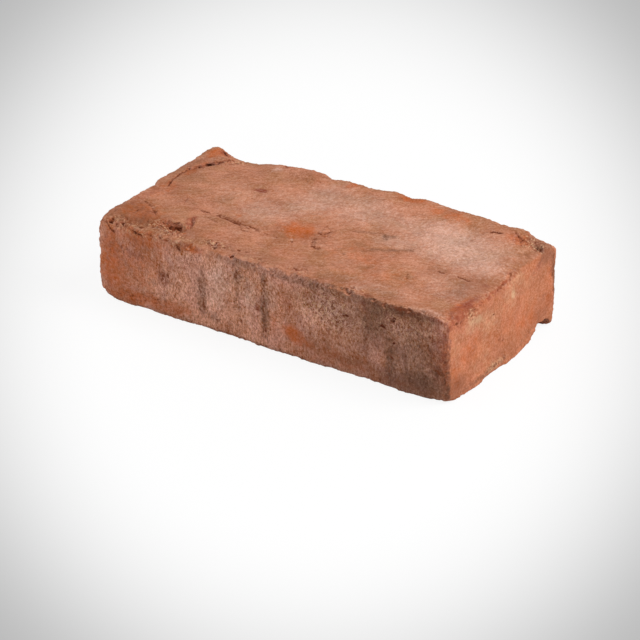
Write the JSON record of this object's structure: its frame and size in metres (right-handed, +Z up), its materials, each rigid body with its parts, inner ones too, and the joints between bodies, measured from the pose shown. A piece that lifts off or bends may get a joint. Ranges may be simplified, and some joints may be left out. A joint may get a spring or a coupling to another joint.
{
  "type": "clay brick",
  "caption": "Hand-made fired clay brick lying flat on its bed, with rolled and torn arrises, a crowned top, an open folded flap at one end, chips and a sooty stretcher face.",
  "frame": {"origin": "centre of the bed, the flat underside that the brick lies on", "axes": "+X along the stretcher towards the cleaner header face, +Y across the bed from the sooty stretcher face to the back one, +Z up, square to the bed"},
  "size_m": [0.2336, 0.1182, 0.0525],
  "materials": {
    "fired_clay": "matte"
  },
  "bodies": {
    "root": {"brick": "fired_clay"}
  },
  "joints": []
}
